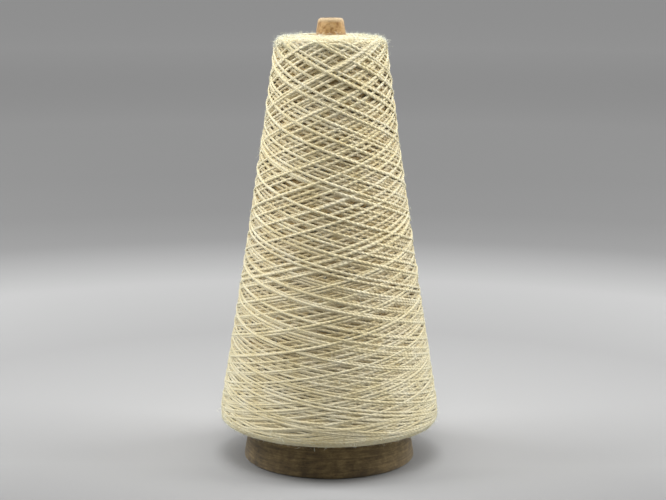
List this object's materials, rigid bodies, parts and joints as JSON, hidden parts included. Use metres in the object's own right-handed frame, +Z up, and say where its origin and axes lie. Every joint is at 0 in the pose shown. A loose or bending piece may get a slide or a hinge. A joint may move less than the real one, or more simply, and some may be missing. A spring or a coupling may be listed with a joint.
{
  "type": "cone of yarn",
  "caption": "Natural plied yarn cross-wound in open diamonds on a tapered kraft-paper cone, which stands on its own open foot and can sit on a winding spindle or a yarn stand.",
  "frame": {"origin": "centre of the paper cone's foot, on the surface that it stands on", "axes": "+Z up the cone's axis, from the foot to the nose; -Y faces the picture's camera"},
  "size_m": [0.1155, 0.1153, 0.229],
  "materials": {
    "kraft_paper": "matt unbleached kraft board, paler where the nose is worn",
    "plied_yarn": "undyed natural plied yarn, matt and slightly fuzzy"
  },
  "bodies": {
    "root": {"paper_cone": "kraft_paper", "yarn_package": "plied_yarn"}
  },
  "joints": []
}
